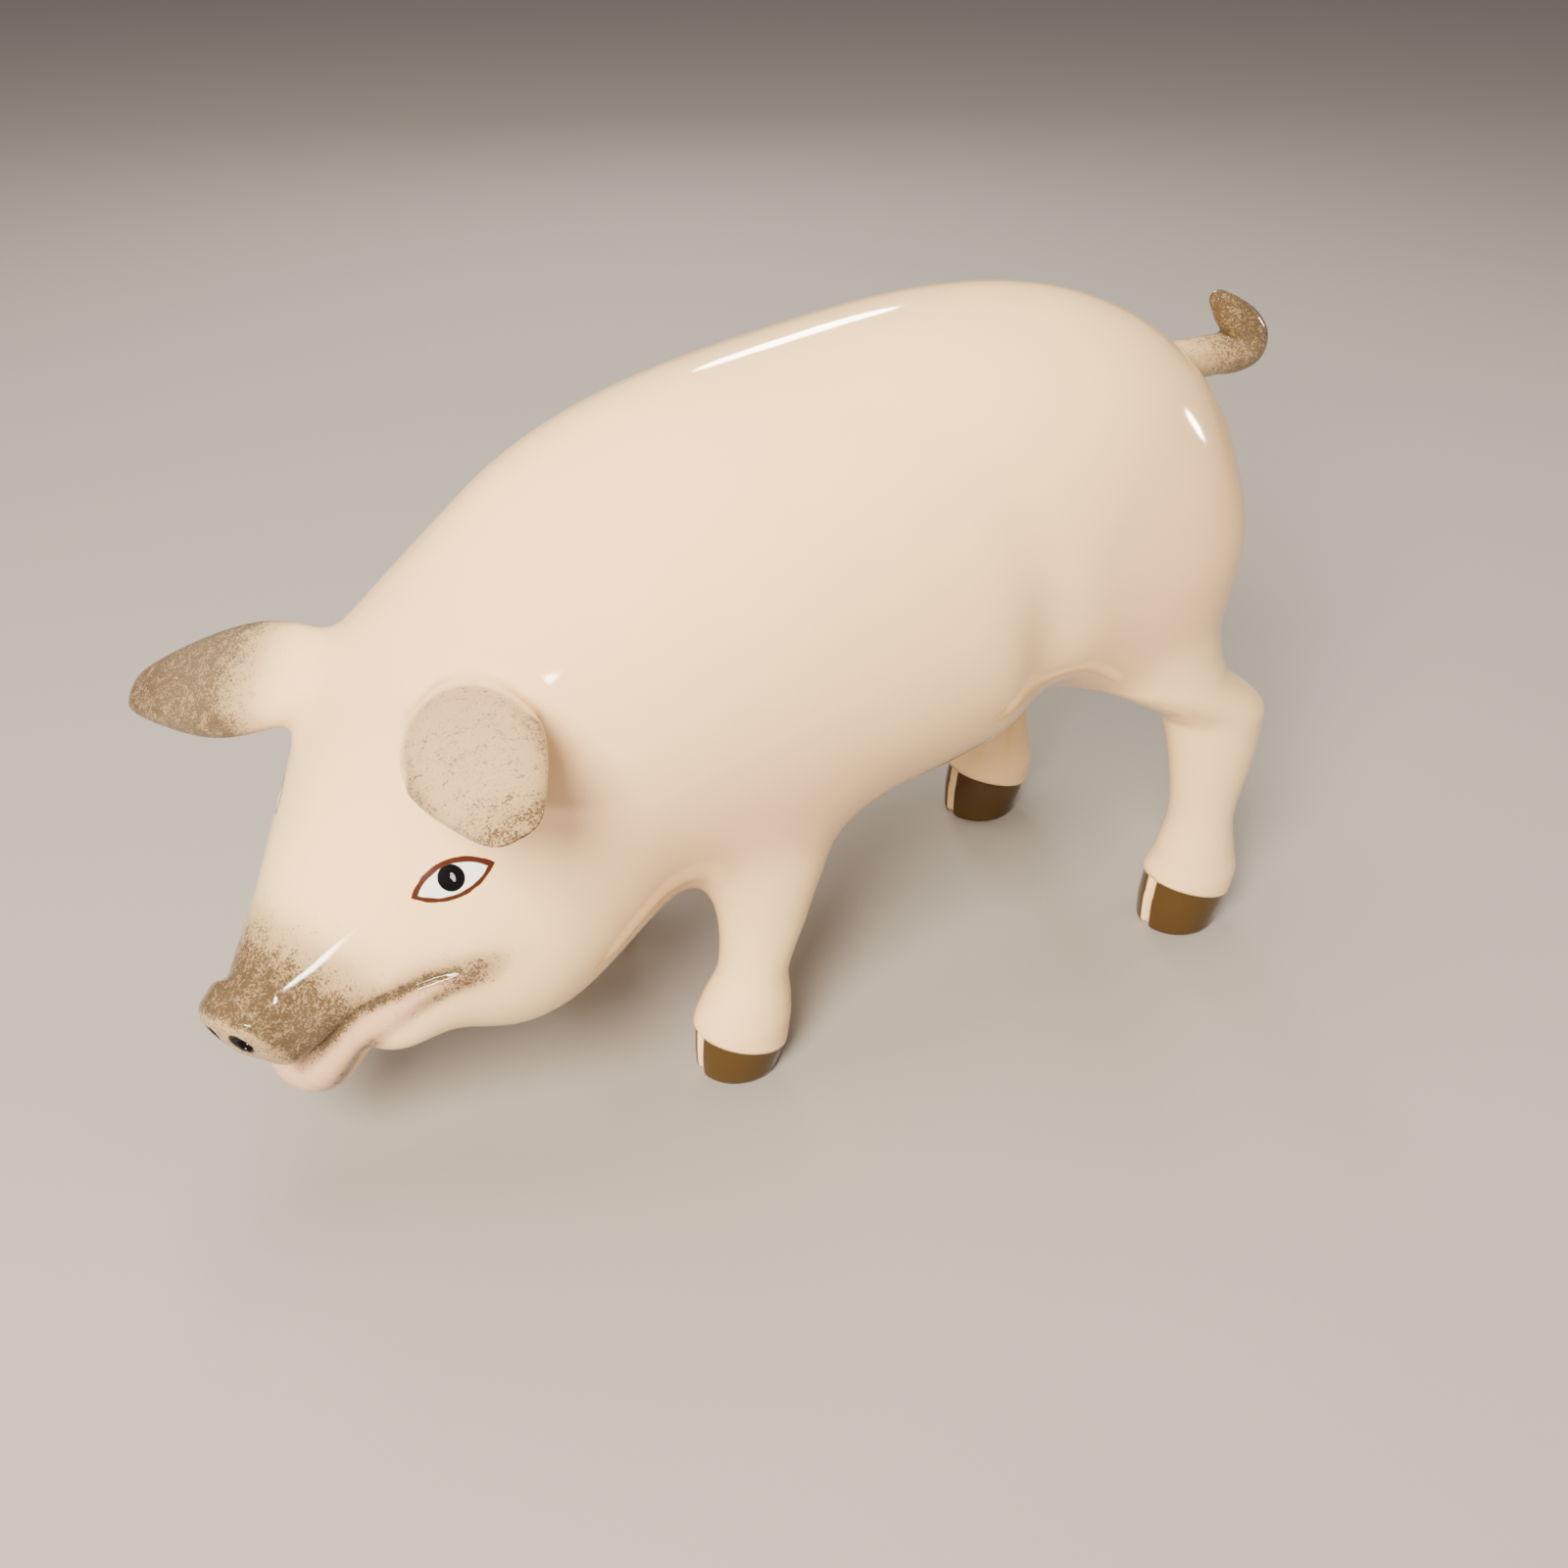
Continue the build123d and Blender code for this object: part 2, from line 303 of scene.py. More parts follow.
UNDER_LIP = ((-2.4, 4.6, -13.6), (0.8, 8.6, -11.2), (4.0, 10.9, -8.9), (7.4, 12.9, -7.2), (11.0, 15.3, -6.3),
             (14.5, 17.8, -5.6), (18.5, 21.0, -5.8))


def in_head(behind, left, up):
    """Place in the head, by millimetres behind the nose, to the left and towards the crown."""
    return NOSE - FORWARD * behind + LEFT * left + CROWN * up


def head_places(points):
    """The points' millimetres behind the nose, to the left and towards the crown."""
    offset = points - NOSE
    return -(offset @ FORWARD), offset @ LEFT, offset @ CROWN


def snout_axes():
    """Out of the snout's face, across it to the left and up it: the face looks a little up and to the left."""
    tilt, turn = radians(4), radians(11)
    out = FORWARD * (cos(tilt) * cos(turn)) + LEFT * (cos(tilt) * sin(turn)) + CROWN * sin(tilt)
    across = np.cross(CROWN, out)
    across = across / np.linalg.norm(across)
    return out, across, np.cross(out, across)


def snout_disc(points):
    """Round end of the snout, with a soft rim and a domed face."""
    offset = points - in_head(-4.6, 0, 0)
    out, left, up = (offset @ axis for axis in snout_axes())
    rim = 1.6
    dome = (left ** 2 + (up + 0.9) ** 2) / 25.6
    across = np.sqrt((left / 7.4) ** 2 + ((up + 0.9) / 5.9) ** 2) * 6.6 - (6.6 - rim)
    along = np.abs(out + dome + 2.7) - (2.7 - rim)
    outside = np.sqrt(np.maximum(across, 0) ** 2 + np.maximum(along, 0) ** 2)
    return outside + np.minimum(np.maximum(across, along), 0) - rim


def nostril_distance(points):
    """Nearest nostril: an upright oval that leans outwards at its foot."""
    lean = radians(30)
    out, left, up = snout_axes()
    nearest = None
    for side in SIDES:
        slit = up * cos(lean) - left * (side * sin(lean))
        across = np.cross(slit, out)
        centre = in_head(-4.4, 0, 0) + left * (2.54 * side) + up * 1.1
        hole = ellipsoid(points, centre, (out, across, slit), (1.6, 1.0, 1.6))
        nearest = hole if nearest is None else np.minimum(nearest, hole)
    return nearest


def along_mouth(points, line, radii):
    """Distance from a cord that follows line on both sides of the head."""
    nearest = None
    for side in SIDES:
        places = rounded_route([in_head(behind, side * left, up) for behind, left, up in line], 3)
        widths = np.interp(np.arange(len(places)) / 3, range(len(line)), radii)
        cord = near_only(points, in_head(10, 10 * side, -8), 16.0, lambda near: chain(near, places, widths))
        nearest = cord if nearest is None else np.minimum(nearest, cord)
    return nearest


def mouth_distance(points):
    """How far the points are from the line between the lips."""
    return along_mouth(points, MOUTH, [0.0] * len(MOUTH))


def skull_distance(points):
    """Head without its lower jaw."""
    skull = egg(points, in_head(68, 0, 0), in_head(-4, 0, 0), CROWN, 28.0, 28.0, HEAD_WIDTH_SHARES,
                HEAD_DEPTH_SHARES, HEAD_RISE_SHARES, 2.0)
    for side in SIDES:
        jowl = ellipsoid(points, in_head(29, 14 * side, -13.7), HEAD_AXES, (15.0, 13.0, 13.0))
        throat = ellipsoid(points, in_head(15.5, 10.5 * side, -9.4), HEAD_AXES, (10.0, 7.5, 5.1))
        skull = smooth_union(skull, smooth_union(jowl, throat, 5.0), 8.0)
    skull = smooth_union(skull, along_mouth(points, UPPER_LIP, UPPER_LIP_RADII), 2.5)
    return smooth_union(skull, snout_disc(points), 1.4)


def lip_distance(points):
    """Lower lip: a soft roll under the mouth."""
    return along_mouth(points, LIP, LIP_RADII)


def jaw_distance(points):
    """Lower jaw, chin and lip."""
    jaw = egg(points, in_head(40, 0, -14), in_head(-1, 0, -12.5), CROWN, 9.5, 6.0, JAW_WIDTH_SHARES,
              JAW_DEPTH_SHARES, JAW_RISE_SHARES, 2.6)
    chin = ellipsoid(points, in_head(0.8, 0, -13.2), HEAD_AXES, (5.8, 6.2, 5.0))
    return smooth_union(smooth_union(jaw, chin, 2.5), lip_distance(points), 3.0)


def head_distance(points, form):
    head = smooth_union(skull_distance(points), jaw_distance(points), 1.2)
    head = smooth_cut(head, nostril_distance(points), 0.5)
    groove = form.mouth_depth / MM * np.exp(-(mouth_distance(points) / 0.8) ** 2)
    return head + groove


# Ears: pillow-like leaves that point outwards, forwards and a little up
EAR_SIDES = {"left_ear": 1, "right_ear": -1}
EAR_ROOTS = {"left_ear": (44.8, 7.6, 16.1), "right_ear": (41.6, 11.5, 13.7)}
EAR_HEADINGS = {"left_ear": (0.33, 0.81, 0.165), "right_ear": (0.37, 0.81, -0.045)}
EAR_LENGTH_SHARES = {"left_ear": 1.0, "right_ear": 1.14}
EAR_TILTS = {"left_ear": radians(12.5), "right_ear": radians(-2.5)}
EAR_WIDTH_SHARES = (0.62, 0.975, 1.00, 0.82, 0.69)
EAR_DEPTH_SHARES = (1.10, 1.10, 1.00, 0.90, 0.70)
EAR_DROOP = 1.0
EAR_CUP = 0.6
EAR_RIM = 3.0


def ear_axes(name):
    """Along the ear, across it and out of its upper face."""
    side = EAR_SIDES[name]
    forward, outward, upward = EAR_HEADINGS[name]
    along = FORWARD * forward + LEFT * (side * outward) + CROWN * upward
    along = along / np.linalg.norm(along)
    level = np.cross(along, CROWN) * side
    level = level / np.linalg.norm(level)
    over = np.cross(level, along) * side
    across = level * cos(EAR_TILTS[name]) + over * sin(EAR_TILTS[name])
    face = np.cross(across, along) * side
    return along, across, face


def ear_places(points, name, form):
    """Share of the way along the ear, then millimetres across it and out of its face."""
    along, across, face = ear_axes(name)
    behind, left, up = EAR_ROOTS[name]
    offset = points - in_head(behind, left * EAR_SIDES[name], up)
    share = offset @ along / (form.ear_length / MM * EAR_LENGTH_SHARES[name])
    b = offset @ across
    edge = np.clip(b / (form.ear_width / MM / 2), -1.5, 1.5)
    bend = EAR_DROOP * np.clip(share, 0, 1.2) ** 2 + EAR_CUP * edge ** 2
    return share, b, offset @ face + bend


def leaf(share, b, c, form):
    """Flat leaf, by the share of the way along it and the millimetres across and out of it."""
    u = np.clip(share, -0.02, 1.02)
    width = form.ear_width / MM / 2 * through(EAR_WIDTH_SHARES, u)
    depth = form.ear_thickness / MM / 2 * through(EAR_DEPTH_SHARES, u)
    m = 2 * share - 1
    across = np.abs(b / width)
    value = m ** 2 + across ** EAR_RIM + (c / depth) ** 2 - 1
    slopes = (4 * m / (form.ear_length / MM), EAR_RIM * across ** (EAR_RIM - 1) / width, 2 * c / depth ** 2)
    return value / (np.sqrt(sum(slope ** 2 for slope in slopes)) + 1e-6)


def round_edge(share, b):
    """Millimetres outside the round upper edge of the left ear, far inside on its lower half."""
    return (np.hypot((share - 0.54) / 0.44, b / 9.2) - 1) * 10.0 - 12.0 * ease(share, 0.45, 0.75)


def ear_distance(points, name, form):
    """The right ear is a leaf; the left one is rounded off above, and stands on a root set back from its face."""
    share, b, c = ear_places(points, name, form)
    if name == "right_ear":
        return leaf(share, b, c, form)
    face = -smooth_union(-leaf(share, b, c, form), -round_edge(share, b), 1.6)
    root = leaf(share, b, c + form.rim_height / MM, form) + 8.0 * ease(share, 0.35, 0.75)
    return smooth_union(face, root, 0.8)


# Legs: at each height, how far the middle is set back and inwards of the sole, then half the length and width
FRONT_HEIGHTS = (0, 4, 8, 11, 16, 24, 34, 46)
FRONT_HALF_LENGTHS = (6.4, 7.0, 7.2, 6.6, 5.2, 6.6, 9.5, 13.0)
FRONT_HALF_WIDTHS = (6.0, 6.3, 6.3, 5.9, 5.0, 6.0, 7.5, 9.0)
FRONT_INWARDS = (0, 0, 0.2, 0.5, 1.0, 2.0, 3.0, 5.0)
FRONT_LEFT_BACKS = (-0.8, -0.3, 0.2, 1.0, 2.5, 4.5, 5.5, 5.5)
FRONT_RIGHT_BACKS = (-0.8, -0.3, 0.2, 1.2, 4.0, 7.0, 10.0, 12.0)
REAR_HEIGHTS = (0, 5, 9, 13, 20, 29, 38, 47, 58)
REAR_HALF_LENGTHS = (6.6, 7.5, 7.8, 6.6, 5.2, 6.6, 8.4, 10.5, 12.0)
REAR_HALF_WIDTHS = (6.4, 6.7, 6.6, 5.8, 5.0, 5.8, 7.0, 9.0, 9.5)
REAR_LEFT_BACKS = (-1.4, -0.5, 0.3, 0.8, 1.0, 1.2, 0.5, -9.5, -13.0)
REAR_RIGHT_BACKS = (-1.4, -0.5, 0.3, 1.0, 1.5, 1.8, 1.0, -3.0, -4.5)
REAR_LEFT_INWARDS = (0, 0, 0, 0, 0, 0, 0.5, 2.5, 4.5)
REAR_RIGHT_INWARDS = (0, 0, 0, 0, 0, 0, 1.0, 3.0, 6.0)
FRONT = (FRONT_HEIGHTS, FRONT_HALF_LENGTHS, FRONT_HALF_WIDTHS)
REAR = (REAR_HEIGHTS, REAR_HALF_LENGTHS, REAR_HALF_WIDTHS)
LEGS = {
    "front_left_leg": (*FRONT, FRONT_LEFT_BACKS, FRONT_INWARDS, 7.6),
    "front_right_leg": (*FRONT, FRONT_RIGHT_BACKS, FRONT_INWARDS, 7.6),
    "rear_left_leg": (*REAR, REAR_LEFT_BACKS, REAR_LEFT_INWARDS, 9.4),
    "rear_right_leg": (*REAR, REAR_RIGHT_BACKS, REAR_RIGHT_INWARDS, 9.4),
}
HIPS = {
    "front_left_leg": (5.5, 7.0, 56.0, (16.0, 11.0, 20.0)),
    "front_right_leg": (12.0, 7.0, 56.0, (16.0, 11.0, 20.0)),
    "rear_left_leg": (-15.5, 5.5, 65.0, (17.5, 13.0, 16.5)),
    "rear_right_leg": (-8.5, 6.5, 65.0, (17.5, 13.0, 16.5)),
}
TOE_SLOPE = 0.30
TOE_STEP = 0.35
CLEFT_HALF_WIDTH = 0.85


def leg_places(points, name):
    """Millimetres behind the sole's middle, to its outer side, and above the upper edge of the toes."""
    sole = SOLES[name.replace("_leg", "_sole")]
    toe_front = sole[0] - 7.0
    toe_edge = LEGS[name][5] - TOE_SLOPE * (points[:, 0] - toe_front)
    return points[:, 0] - sole[0], points[:, 1] - sole[1], points[:, 2] - toe_edge


def hip_of(name):
    """Middle, axes and radii of the round upper end of a leg, which lies in the torso."""
    back, inward, up, radii = HIPS[name]
    sole = SOLES[name.replace("_leg", "_sole")]
    centre = np.array([sole[0] + back, sole[1] + inward * np.sign(HOME[1] - sole[1]), up])
    return centre, np.eye(3), radii


def leg_distance(points, name, form):
    heights, half_lengths, half_widths, backs, inwards, toe_height = LEGS[name]
    sole = SOLES[name.replace("_leg", "_sole")]
    inward = np.sign(HOME[1] - sole[1])
    z = points[:, 2]
    mid_x = sole[0] + stations(heights, backs, z)
    mid_y = sole[1] + inward * stations(heights, inwards, z)
    half_x = stations(heights, half_lengths, z)
    half_y = stations(heights, half_widths, z)
    x, y = (points[:, 0] - mid_x) / half_x, (points[:, 1] - mid_y) / half_y
    slope = 2 * np.sqrt((x / half_x) ** 2 + (y / half_y) ** 2) + 1e-6
    skin = (x ** 2 + y ** 2 - 1) / slope * 0.9
    back, outer, above = leg_places(points, name)
    toes = ease(-above, -0.3, 0.4)
    cleft = form.cleft_depth / MM * np.exp(-(outer / CLEFT_HALF_WIDTH) ** 4) * ease(-back, 0.0, 3.0)
    skin = skin + toes * (TOE_STEP + cleft)
    skin = smooth_cut(skin, z, 1.0)
    hip = ellipsoid(points, *hip_of(name))
    return smooth_union(smooth_cut(skin, heights[-1] - z, 8.0), hip, 6.0)


# Tail: a fat roll that leaves the rump, curls up and turns its tip forwards
TAIL_ROUTE = ((58.5, 0.0, 86.0), (64.5, 0.0, 86.1), (67.6, -0.3, 86.2), (69.6, -0.8, 87.0), (69.9, -0.8, 88.6),
              (68.6, -0.5, 90.5), (66.6, -0.2, 92.4), (64.9, 0.4, 94.2))
TAIL_PLACES = [HOME + place for place in TAIL_ROUTE]
TAIL_RADII = (3.1, 3.0, 3.2, 3.3, 3.2, 3.0, 2.4, 1.5)


def tail_distance(points):
    steps = 4
    route = rounded_route(TAIL_PLACES, steps)
    radii = np.interp(np.arange(len(route)) / steps, range(len(TAIL_RADII)), TAIL_RADII)
    return near_only(points, TAIL_PLACES[2], 14.0, lambda near: chain(near, route, radii))


# The whole skin, and which casting each part of it belongs to
CASTINGS = ("torso", "head", "left_ear", "right_ear", "front_left_leg", "front_right_leg", "rear_left_leg",
            "rear_right_leg", "tail")


def casting_distances(points, form):
    parts = {"torso": torso_distance(points), "head": head_distance(points, form)}
    for name in EAR_SIDES:
        parts[name] = ear_distance(points, name, form)
    for name in LEGS:
        parts[name] = leg_distance(points, name, form)
    parts["tail"] = tail_distance(points)
    return parts


def skin_distance(points, form):
    parts = casting_distances(points, form)
    skin = smooth_union(parts["torso"], parts["head"], form.neck_blend / MM)
    for name in LEGS:
        skin = smooth_union(skin, parts[name], form.leg_blend / MM)
    for name in EAR_SIDES:
        skin = smooth_union(skin, parts[name], getattr(form, name + "_blend") / MM)
    return smooth_union(skin, parts["tail"], form.tail_blend / MM) 


def settle(points, form):
    """Points moved onto the skin, and the skin's outward directions there."""
    reach = 0.04
    corners = np.array(((1, 1, 1), (1, -1, -1), (-1, 1, -1), (-1, -1, 1)), float)
    for _ in range(2):
        values = [skin_distance(points + reach * corner, form) for corner in corners]
        slope = sum(np.outer(value, corner) for value, corner in zip(values, corners)) / (4 * reach)
        steepness = np.linalg.norm(slope, axis=1)
        normals = slope / (steepness[:, None] + 1e-9)
        move = np.clip(np.mean(values, axis=0) / (steepness + 1e-9), -0.4, 0.4)
        points = points - normals * move[:, None]
    return points, normals


def drawn_skin(form):
    """Points and triangles of the whole skin: sampled coarsely, then finely near the surface alone."""
    step = form.mesh_step / MM
    fine = 4
    block = fine * step
    low = np.array(CAD_BOX[0]) / MM - 2 * block
    counts = np.ceil((np.array(CAD_BOX[1]) / MM + 2 * block - low) / block).astype(int)
    cells = np.indices(counts).reshape(3, -1).T
    coarse = skin_distance(low + (cells + 0.5) * block, form)
    values = coarse.reshape(counts)
    for axis in range(3):
        values = np.repeat(values, fine, axis)
    near = cells[np.abs(coarse) < 1.6 * block]
    within = np.indices((fine, fine, fine)).reshape(3, -1).T
    samples = (near[:, None] * fine + within[None]).reshape(-1, 3)
    values[tuple(samples.T)] = skin_distance(low + (samples + 0.5) * step, form)
    grid = openvdb.FloatGrid(block)
    grid.copyFromArray(np.ascontiguousarray(values, dtype=np.float32))
    corners, quads = grid.convertToQuads(0.0)
    triangles = np.concatenate([quads[:, (0, 1, 2)], quads[:, (0, 2, 3)]]).astype(int)
    return low + (corners.astype(float) + 0.5) * step, triangles


def part_along(points, owners, triangles, side):
    """Triangles cut where side changes sign: the points with those added, then the two sets of triangles."""
    below = side[triangles] < 0
    count = below.sum(1)
    mixed = (count == 1) | (count == 2)
    lone_below = count[mixed] == 1
    first = (below[mixed] == lone_below[:, None]).argmax(1)
    order = (first[:, None] + np.arange(3)) % 3
    a, b, c = np.take_along_axis(triangles[mixed], order, 1).T
    edges = np.sort(np.concatenate([np.stack([a, b], 1), np.stack([a, c], 1)]), 1)
    edges, place = np.unique(edges, axis=0, return_inverse=True)
    p, q = edges.T
    share = np.clip(side[p] / (side[p] - side[q]), 0.04, 0.96)[:, None]
    place = len(points) + place.reshape(-1)
    ab, ac = place[:len(a)], place[len(a):]
    lone = np.stack([a, ab, ac], 1)
    rest = np.concatenate([np.stack([ab, b, c], 1), np.stack([ab, c, ac], 1)])
    rest_below = np.concatenate([~lone_below, ~lone_below])
    points = np.concatenate([points, points[p] * (1 - share) + points[q] * share])
    owners = np.concatenate([owners, owners[p] * (1 - share) + owners[q] * share])
    inside = np.concatenate([triangles[count == 3], lone[lone_below], rest[rest_below]])
    outside = np.concatenate([triangles[count == 0], lone[~lone_below], rest[~rest_below]])
    return points, owners, inside, outside


@lru_cache(maxsize=1)
def cast_skin():
    """The skin's points, their outward directions, and the triangles of each casting."""
    form = bpy.context.scene.pig_form
    points, triangles = drawn_skin(form)
    parts = casting_distances(points, form)
    owners = np.stack([parts[name] for name in CASTINGS], 1)
    shares = {}
    for index in range(len(CASTINGS) - 1, 0, -1):
        others = np.delete(owners[:, :index + 1], index, 1).min(1)
        points, owners, shares[CASTINGS[index]], triangles = part_along(points, owners, triangles,
                                                                        owners[:, index] - others)
    shares["torso"] = triangles
    points, normals = settle(points, form)
    return points, normals, shares


def closed(points, normals, triangles):
    """A casting's own points and triangles, with each open end closed by a fan to its middle."""
    used, place = np.unique(triangles, return_inverse=True)
    triangles = place.reshape(-1, 3)
    points, normals = points[used], normals[used]
    edges = np.concatenate([triangles[:, (0, 1)], triangles[:, (1, 2)], triangles[:, (2, 0)]])
    known = {tuple(edge) for edge in edges.tolist()}
    following = {p: q for p, q in edges.tolist() if (q, p) not in known}
    fans, middles, headings = [], [], []
    while following:
        start = here = next(iter(following))
        ring = []
        while here in following:
            ring.append(here)
            here = following.pop(here)
        middle = len(points) + len(middles)
        middles.append(points[ring].mean(0))
        headings.append(-normals[ring].mean(0))
        fans += [(q, p, middle) for p, q in zip(ring, ring[1:] + [start])]
    if fans:
        points = np.concatenate([points, middles])
        normals = np.concatenate([normals, headings])
        triangles = np.concatenate([triangles, fans])
    return points, normals, triangles


def make_casting(name, material, paint):
    """One casting as a closed mesh, with the measures that its paint is drawn from."""
    points, normals, triangles = closed(*[cast_skin()[0], cast_skin()[1], cast_skin()[2][name]])
    mesh = bpy.data.meshes.new(name + "_china")
    mesh.from_pydata((points * MM).tolist(), [], triangles.tolist())
    mesh.polygons.foreach_set("use_smooth", [True] * len(triangles))
    mesh.normals_split_custom_set_from_vertices(normals.tolist())
    for label, values in paint(points).items():
        layer = mesh.attributes.new(label, "FLOAT", "POINT")
        layer.data.foreach_set("value", np.asarray(values, np.float32))
    mesh.materials.append(material)
    piece = bpy.data.objects.new(name + "_china", mesh)
    bpy.context.scene.collection.objects.link(piece)
    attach(piece, BODY)
    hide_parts(name)
    return piece


# Paint measures


def tints(points):
    """Pink tint in the wide hollows, partly airbrush and partly painted shade, and pooled glaze round the roots of the
    ears and the tail.
    """
    form = bpy.context.scene.pig_form
    parts = casting_distances(points, form)
    blush = np.zeros(len(points))
    # Painted shade together with pink airbrush where the legs and the head run into the torso
    for name in LEGS:
        blush = np.maximum(blush, np.exp(-(parts[name] / 6) ** 2 - (parts["torso"] / 6) ** 2))
    blush = np.maximum(blush, 0.7 * np.exp(-(parts["head"] / 8) ** 2 - (parts["torso"] / 8) ** 2))
    pool = np.zeros(len(points))
    for name in EAR_SIDES:
        pool = np.maximum(pool, np.exp(-(parts[name] / 1.0) ** 2 - (parts["head"] / 1.6) ** 2))
    share, across, out = ear_places(points, "left_ear", form)
    brim = np.exp(-(round_edge(share, across) - 0.8) ** 2) * ease(-parts["left_ear"], -1.2, -0.2)
    pool = np.maximum(pool, 0.8 * brim)
    pool = np.maximum(pool, np.exp(-(parts["tail"] / 0.7) ** 2 - (parts["torso"] / 0.7) ** 2))
    return {"blush": blush, "pool": pool}


EYE = (26.5, 18.55, 4.68)
EYE_ALONG = np.array((0.797, 0.595, -0.109))
EYE_UP = np.array((0.455, -0.471, 0.755))


def height_along(line, behind):
    """How far towards the crown a line along the mouth is, by the millimetres behind the nose."""
    places = np.array(line)
    return np.interp(behind, places[:, 0], places[:, 2])


def face_paint(points):
    """Airbrush on the snout and along the mouth, the lip, the nostrils and the drawing of the eyes."""
    measures = tints(points)
    behind, left, up = head_places(points)
    mouth = mouth_distance(points)
    skull, jaw = skull_distance(points), jaw_distance(points)
    below_mouth = ease(height_along(MOUTH, behind) - up, 0.0, 0.8)
    lower = np.maximum(ease(skull - jaw, -0.3, 0.5), below_mouth) * ease(-behind, -24, -18)
    snout = ease(-behind, -17.5, -4) * (1 - lower) * ease(up, -8.5, -6.5)
    disc = -snout_axes()[0] @ (in_head(-4.6, 0, 0) - points).T
    disc_face = ease(disc, -2.4, -1.0) * (1 - lower)
    corner = np.exp(-((behind - 19.0) / 4.5) ** 2 - ((up + 4.9) / 2.4) ** 2) * ease(np.abs(left), 12, 18)
    line = np.exp(-(mouth / 1.3) ** 2) * ease(-behind, -24, -20)
    halo = np.exp(-(mouth / 2.8) ** 2) * (1 - lower) * ease(up, -7.0, -4.5) * ease(-behind, -24, -20)
    under = np.exp(-(along_mouth(points, UNDER_LIP, [0.0] * len(UNDER_LIP)) / 1.3) ** 2)
    measures["airbrush"] = np.maximum.reduce([0.95 * snout * (1 - 0.3 * disc_face), 1.1 * line,
                                              0.85 * corner, 0.9 * under, 0.6 * halo])
    measures["umber"] = 1 - 0.7 * disc_face
    measures["lip"] = lower * ease(up - height_along(UNDER_LIP, behind), -0.8, 0.8)
    measures["nostril"] = -nostril_distance(points)
    side = np.where(left > 0, 1.0, -1.0)
    offset = np.stack([behind - EYE[0], side * left - EYE[1], up - EYE[2]], 1)
    u, v = offset @ EYE_ALONG, offset @ EYE_UP
    measures["upper_lid"] = 7.0 - np.hypot(u + 0.3, v + 4.78)
    measures["lower_lid"] = 7.95 - np.hypot(u + 0.4, v - 5.9)
    measures["iris"] = 1.72 - np.hypot(u + 0.38, v - 0.3)
    # Painted highlight in the iris
    measures["glint"] = 0.62 - np.hypot((u + 0.15) / 0.5, v - 0.3)
    near = np.abs(offset @ np.cross(EYE_ALONG, EYE_UP)) < 6
    for label in ("upper_lid", "lower_lid", "iris", "glint"):
        measures[label] = np.where(near, measures[label], -5.0)
    return measures


EAR_SPRAYS = {"left_ear": (-0.50, 0.00, 0.54), "right_ear": (0.05, 0.55, 0.95)}


def ear_paint(points):
    """Grey airbrush from the root or the middle of the ear to its tip, browner at the tip; denser and browner along
    the rim, partly airbrush and partly painted shade.
    """
    form = bpy.context.scene.pig_form
    measures = tints(points)
    nearest = np.full(len(points), 1e9)
    spray, umber = np.zeros(len(points)), np.zeros(len(points))
    for name, (start, end, densest) in EAR_SPRAYS.items():
        reach = np.abs(ear_distance(points, name, form))
        share, across, out = ear_places(points, name, form)
        # Rim of the leaf: denser, browner spray, partly real airbrush and partly painted shade
        edge = ease(np.abs(across) / (form.ear_width / MM / 2), 0.65, 1.0)
        own = reach < nearest
        dense = densest + 0.25 * np.maximum(ease(share, 0.75, 1.0), edge)
        dense = dense * ease(share, start, end)
        if name == "left_ear":
            dense = dense * ease(-round_edge(share, across), 0.6, 2.2)
        spray = np.where(own, dense, spray)
        umber = np.where(own, np.maximum(ease(share, 0.6, 1.0), 0.5 * edge), umber)
        nearest = np.minimum(nearest, reach)
    measures["airbrush"] = np.clip(spray, 0, 0.95)
    measures["umber"] = umber
    return measures


def tail_paint(points):
    """Grey airbrush that starts at the root and turns brown at the tip."""
    measures = tints(points)
    route = np.array(rounded_route(TAIL_PLACES, 4))
    steps = np.linalg.norm(points[:, None] - route[None], axis=2).argmin(1) / (len(route) - 1)
    measures["airbrush"] = 0.95 * ease(steps, -0.4, 0.35)
    measures["umber"] = ease(steps, 0.35, 0.8)
    return measures


def hoof_paint(points):
    """How far below the upper edge of the toes' paint, which stops at the cleft."""
    measures = tints(points)
    paint = np.full(len(points), -9.0)
    for name in LEGS:
        back, outer, above = leg_places(points, name)
        own = np.hypot(back, outer) < 14
        beside = np.where(back < 0, np.abs(outer) - CLEFT_HALF_WIDTH - 0.1, 9.0)
        paint = np.where(own, np.maximum(paint, np.minimum(-above, beside)), paint)
    measures["hoof"] = paint
    return measures


# Materials


def node(tree, kind, inputs, **settings):
    """Adds a node with its settings, and links or sets its inputs."""
    made = tree.nodes.new(kind)
    for label, value in settings.items():
        setattr(made, label, value)
    for socket, source in inputs.items():
        if isinstance(source, bpy.types.NodeSocket):
            tree.links.new(source, made.inputs[socket])
        else:
            made.inputs[socket].default_value = source
    return made


def laid_over(tree, below, paint, mask):
    """Colour of paint over what is below it, where the mask is."""
    mix = node(tree, "ShaderNodeMix", {0: mask, 6: below, 7: (*paint, 1)}, data_type="RGBA")
    return mix.outputs[2]


def measured(tree, label):
    return node(tree, "ShaderNodeAttribute", {}, attribute_name=label).outputs["Fac"]


def stepped(tree, value, start, end):
    """0 where value is below start, 1 past end."""
    inputs = {"Value": value, "From Min": start, "From Max": end}
    return node(tree, "ShaderNodeMapRange", inputs, interpolation_type="SMOOTHSTEP").outputs["Result"]


def reckoned(tree, operation, first, second=0.0):
    return node(tree, "ShaderNodeMath", {0: first, 1: second}, operation=operation).outputs[0]


